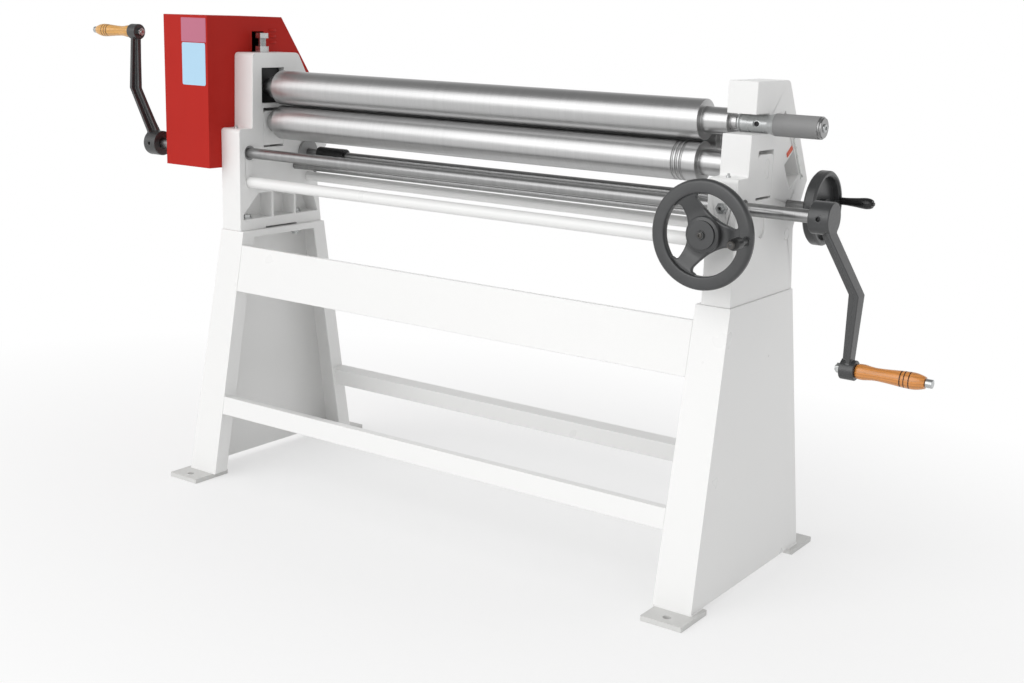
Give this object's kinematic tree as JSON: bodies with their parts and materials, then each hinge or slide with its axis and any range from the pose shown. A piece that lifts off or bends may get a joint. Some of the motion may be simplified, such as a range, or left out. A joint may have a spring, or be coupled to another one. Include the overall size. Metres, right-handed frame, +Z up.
{
  "type": "plate rolling machine",
  "caption": "Hand-cranked plate rolling machine: steel rolls between white cast housings on splayed sheet legs, red gear cover, cranks at both ends and handwheels for setting the rolls.",
  "frame": {"origin": "centre of the four floor anchor holes, on the floor", "axes": "+X along the rolls, away from the gear cover; +Y away from the operator, to the rear roll; +Z up"},
  "size_m": [2.5, 0.678, 1.227],
  "materials": {
    "white_paint": "gloss white paint",
    "red_paint": "satin red paint on sheet",
    "grey_paint": "satin grey paint",
    "pointer_paint": "orange-red paint",
    "roll_steel": "ground steel",
    "bright_steel": "turned steel",
    "zinc": "zinc-plated steel",
    "scale_metal": "satin aluminium strip",
    "dark_iron": "dark grey enamelled cast iron",
    "gear_iron": "machined cast iron",
    "black_iron": "black oxide",
    "bronze": "bearing bronze",
    "black_plastic": "black moulded plastic",
    "grey_grip": "grey moulded plastic",
    "warm_wood": "varnished turned wood",
    "pale_wood": "varnished turned wood"
  },
  "bodies": {
    "frame": {"left_leg": "white_paint", "right_leg": "white_paint", "foot_plates": "white_paint", "front_upper_beam": "white_paint", "front_lower_beam": "white_paint", "rear_lower_beam": "white_paint", "left_housing": "white_paint", "right_housing": "white_paint", "housing_bolts": "zinc", "front_tie_rod": "white_paint", "rear_tie_rod": "white_paint", "gear_cover": "red_paint", "cover_screws": "zinc", "shaft_bushes": "bronze", "drive_bush": "bronze", "pivot_bolt": "zinc", "pivot_lock_nut": "zinc", "clamp_screw": "zinc", "oil_nipples": "zinc", "position_scale": "scale_metal", "gearing_covers": "grey_paint"},
    "crank": {"crank_shaft": "bright_steel", "drive_pinion": "bright_steel", "left_crank_arm": "dark_iron", "right_crank_arm": "dark_iron", "crank_set_screws": "zinc", "grip_pins": "zinc"},
    "left_grip": {"left_crank_grip": "pale_wood"},
    "right_grip": {"right_crank_grip": "warm_wood"},
    "gear_train": {"drive_shaft": "bright_steel", "drive_gear": "gear_iron", "transfer_gear": "gear_iron", "gear_nut": "zinc"},
    "upper_bearing": {"pivot_block": "black_iron"},
    "upper_roll": {"upper_roll": "roll_steel"},
    "release_handle": {"release_sleeve": "bright_steel", "release_grip": "grey_grip", "release_cap": "bright_steel"},
    "lower_carriage": {"lower_left_block": "white_paint", "lower_right_block": "white_paint"},
    "lower_roll": {"lower_roll": "roll_steel", "lower_roll_gear": "gear_iron"},
    "front_wheel": {"front_handwheel": "dark_iron", "handwheel_shaft": "bright_steel", "handwheel_cap": "dark_iron"},
    "front_knob": {"front_knob": "black_plastic"},
    "cross_shaft": {"setting_cross_shaft": "bright_steel"},
    "left_shaft": {"left_setting_shaft": "bright_steel"},
    "left_jack": {"left_jack_screw": "bright_steel"},
    "right_jack": {"right_jack_screw": "bright_steel"},
    "rear_carriage": {"rear_left_block": "grey_paint", "rear_right_block": "grey_paint", "pointer": "pointer_paint"},
    "rear_roll": {"rear_roll": "roll_steel"},
    "side_wheel": {"rear_setting_shaft": "bright_steel", "shaft_coupling": "black_iron", "side_handwheel": "dark_iron"},
    "side_handle": {"side_handle": "black_plastic"},
    "left_lift": {"left_lift_nut": "bronze"},
    "right_lift": {"right_lift_nut": "bronze"}
  },
  "joints": [
    {"name": "crank_spin", "type": "hinge", "parent": "frame", "child": "crank", "pos_m": [0, -0.118, 0.872], "axis": [1, 0, 0], "continuous": true},
    {"name": "left_grip_spin", "type": "hinge", "parent": "crank", "child": "left_grip", "pos_m": [-1.055, -0.118, 1.175], "axis": [1, 0, 0], "continuous": true},
    {"name": "right_grip_spin", "type": "hinge", "parent": "crank", "child": "right_grip", "pos_m": [0.937, -0.118, 0.569], "axis": [1, 0, 0], "continuous": true},
    {"name": "gear_train_spin", "type": "hinge", "parent": "frame", "child": "gear_train", "pos_m": [-0.85, -0.029, 1.044], "axis": [1, 0, 0], "continuous": true},
    {"name": "upper_roll_swing", "type": "hinge", "parent": "frame", "child": "upper_bearing", "pos_m": [-0.732, -0.029, 1.044], "axis": [0, 0, -1], "range_deg": [0, 8]},
    {"name": "upper_roll_spin", "type": "hinge", "parent": "upper_bearing", "child": "upper_roll", "pos_m": [0, -0.029, 1.044], "axis": [1, 0, 0], "continuous": true},
    {"name": "release_handle_turn", "type": "hinge", "parent": "upper_bearing", "child": "release_handle", "pos_m": [0.83, -0.029, 1.044], "axis": [1, 0, 0], "continuous": true},
    {"name": "lower_roll_slide", "type": "slide", "parent": "frame", "child": "lower_carriage", "axis": [0, 0, 1], "range_m": [-0.005, 0]},
    {"name": "lower_roll_spin", "type": "hinge", "parent": "lower_carriage", "child": "lower_roll", "pos_m": [0, -0.029, 0.9525], "axis": [1, 0, 0], "continuous": true},
    {"name": "front_wheel_turn", "type": "hinge", "parent": "frame", "child": "front_wheel", "pos_m": [0.728, -0.24, 0.827], "axis": [0, 1, 0], "range_deg": [-722, 2]},
    {"name": "front_knob_spin", "type": "hinge", "parent": "front_wheel", "child": "front_knob", "pos_m": [0.831, -0.24, 0.827], "axis": [0, 1, 0], "continuous": true},
    {"name": "cross_shaft_turn", "type": "hinge", "parent": "frame", "child": "cross_shaft", "pos_m": [0, 0.055, 0.827], "axis": [1, 0, 0], "range_deg": [-722, 722]},
    {"name": "left_shaft_turn", "type": "hinge", "parent": "frame", "child": "left_shaft", "pos_m": [-0.728, 0, 0.827], "axis": [0, 1, 0], "range_deg": [-722, 722]},
    {"name": "left_jack_turn", "type": "hinge", "parent": "frame", "child": "left_jack", "pos_m": [-0.728, -0.029, 0.9], "axis": [0, 0, 1], "range_deg": [-722, 722]},
    {"name": "right_jack_turn", "type": "hinge", "parent": "frame", "child": "right_jack", "pos_m": [0.728, -0.029, 0.9], "axis": [0, 0, 1], "range_deg": [-722, 722]},
    {"name": "rear_roll_slide", "type": "slide", "parent": "frame", "child": "rear_carriage", "axis": [0, -0.5446, 0.8387], "range_m": [-0.055, 0.012]},
    {"name": "rear_roll_spin", "type": "hinge", "parent": "rear_carriage", "child": "rear_roll", "pos_m": [0, 0.068, 1], "axis": [1, 0, 0], "continuous": true},
    {"name": "side_wheel_turn", "type": "hinge", "parent": "frame", "child": "side_wheel", "pos_m": [0.842, 0.10098, 0.862], "axis": [1, 0, 0], "range_deg": [-3970, 874]},
    {"name": "side_handle_spin", "type": "hinge", "parent": "side_wheel", "child": "side_handle", "pos_m": [0.842, 0.16913, 0.87279], "axis": [1, 0, 0], "continuous": true},
    {"name": "left_lift_turn", "type": "hinge", "parent": "frame", "child": "left_lift", "pos_m": [-0.726, 0.14082, 0.88787], "axis": [0, -0.5446, 0.8387], "range_deg": [-4000, 4000]},
    {"name": "right_lift_turn", "type": "hinge", "parent": "frame", "child": "right_lift", "pos_m": [0.726, 0.14082, 0.88787], "axis": [0, -0.5446, 0.8387], "range_deg": [-4000, 4000]}
  ],
  "couplings": [
    {"joint": "upper_roll_spin", "follows": "crank_spin", "ratio": -0.2},
    {"joint": "gear_train_spin", "follows": "crank_spin", "ratio": -0.2},
    {"joint": "lower_roll_spin", "follows": "crank_spin", "ratio": 0.2},
    {"joint": "front_wheel_turn", "follows": "lower_roll_slide", "rad_per_m": 2513.3},
    {"joint": "cross_shaft_turn", "follows": "lower_roll_slide", "rad_per_m": -2513.3},
    {"joint": "left_shaft_turn", "follows": "lower_roll_slide", "rad_per_m": -2513.3},
    {"joint": "right_jack_turn", "follows": "lower_roll_slide", "rad_per_m": 2513.3},
    {"joint": "left_jack_turn", "follows": "lower_roll_slide", "rad_per_m": -2513.3},
    {"joint": "side_wheel_turn", "follows": "rear_roll_slide", "rad_per_m": 1256.6},
    {"joint": "left_lift_turn", "follows": "rear_roll_slide", "rad_per_m": 1256.6},
    {"joint": "right_lift_turn", "follows": "rear_roll_slide", "rad_per_m": 1256.6}
  ]
}
